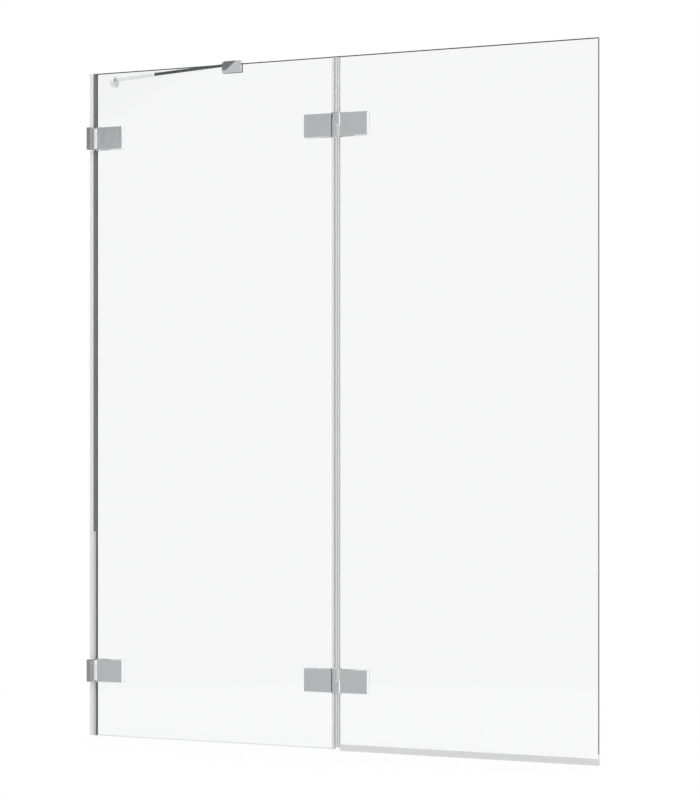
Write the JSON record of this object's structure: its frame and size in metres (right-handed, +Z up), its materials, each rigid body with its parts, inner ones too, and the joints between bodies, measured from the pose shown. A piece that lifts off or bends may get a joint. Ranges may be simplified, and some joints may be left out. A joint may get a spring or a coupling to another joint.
{
  "type": "two-panel bath screen",
  "caption": "Frameless glass bath screen: a fixed pane with wall brackets and a support bar, and a door pane that swings on glass-to-glass hinges.",
  "frame": {"origin": "middle of the lower wall plate's back face, on the wall and in the middle of the glass thickness", "axes": "+X away from the wall along the closed screen, +Y to the side the support bar is on, +Z up"},
  "size_m": [1.2092, 0.1348, 1.5113],
  "materials": {
    "glass": "clear polished toughened glass",
    "chrome": "polished chrome plate",
    "dark_chrome": "dark polished plate",
    "seal": "clear soft plastic, slightly cloudy",
    "nylon": "white moulded plastic",
    "steel": "plain stainless steel"
  },
  "bodies": {
    "fixed": {"fixed_glass": "glass", "wall_seal": "seal", "fixed_edge_seal": "seal", "wall_plate_upper": "chrome", "wall_plate_lower": "chrome", "wall_covers_upper": "chrome", "wall_covers_lower": "chrome", "wall_front_plate_upper": "chrome", "wall_front_plate_lower": "chrome", "wall_back_plate_upper": "chrome", "wall_back_plate_lower": "chrome", "wall_gaskets_upper": "seal", "wall_gaskets_lower": "seal", "wall_clamp_screws": "steel", "wall_sleeves": "nylon", "fixed_leaf_core_upper": "chrome", "fixed_leaf_core_lower": "chrome", "fixed_leaf_front_upper": "chrome", "fixed_leaf_front_lower": "chrome", "fixed_leaf_back_upper": "chrome", "fixed_leaf_back_lower": "chrome", "fixed_leaf_gaskets_upper": "seal", "fixed_leaf_gaskets_lower": "seal", "fixed_leaf_screws": "steel", "fixed_leaf_sleeves": "nylon", "hinge_pin_upper": "steel", "hinge_pin_lower": "steel", "pin_grub_screws": "steel", "hinge_washers": "nylon", "fixed_knuckle_caps": "chrome", "support_tube": "chrome", "support_rod": "dark_chrome", "rod_lock_screw": "steel", "glass_clamp": "chrome", "glass_clamp_liner": "seal", "glass_clamp_grubs": "steel", "rod_grub_screw": "steel", "rosette_base": "steel", "rosette_cap": "chrome", "rosette_grub_screw": "steel"},
    "door": {"door_glass": "glass", "door_edge_seal": "seal", "door_drip_seal": "seal", "door_leaf_core_upper": "chrome", "door_leaf_core_lower": "chrome", "door_leaf_front_upper": "chrome", "door_leaf_front_lower": "chrome", "door_leaf_back_upper": "chrome", "door_leaf_back_lower": "chrome", "door_leaf_gaskets_upper": "seal", "door_leaf_gaskets_lower": "seal", "door_leaf_screws": "steel", "door_leaf_sleeves": "nylon", "hinge_bush_upper": "nylon", "hinge_bush_lower": "nylon", "door_knuckle_caps": "chrome"}
  },
  "joints": [
    {"name": "door_swing", "type": "hinge", "parent": "fixed", "child": "door", "pos_m": [0.6141, 0, 0], "axis": [0, 0, 1], "range_deg": [-90, 90]}
  ]
}
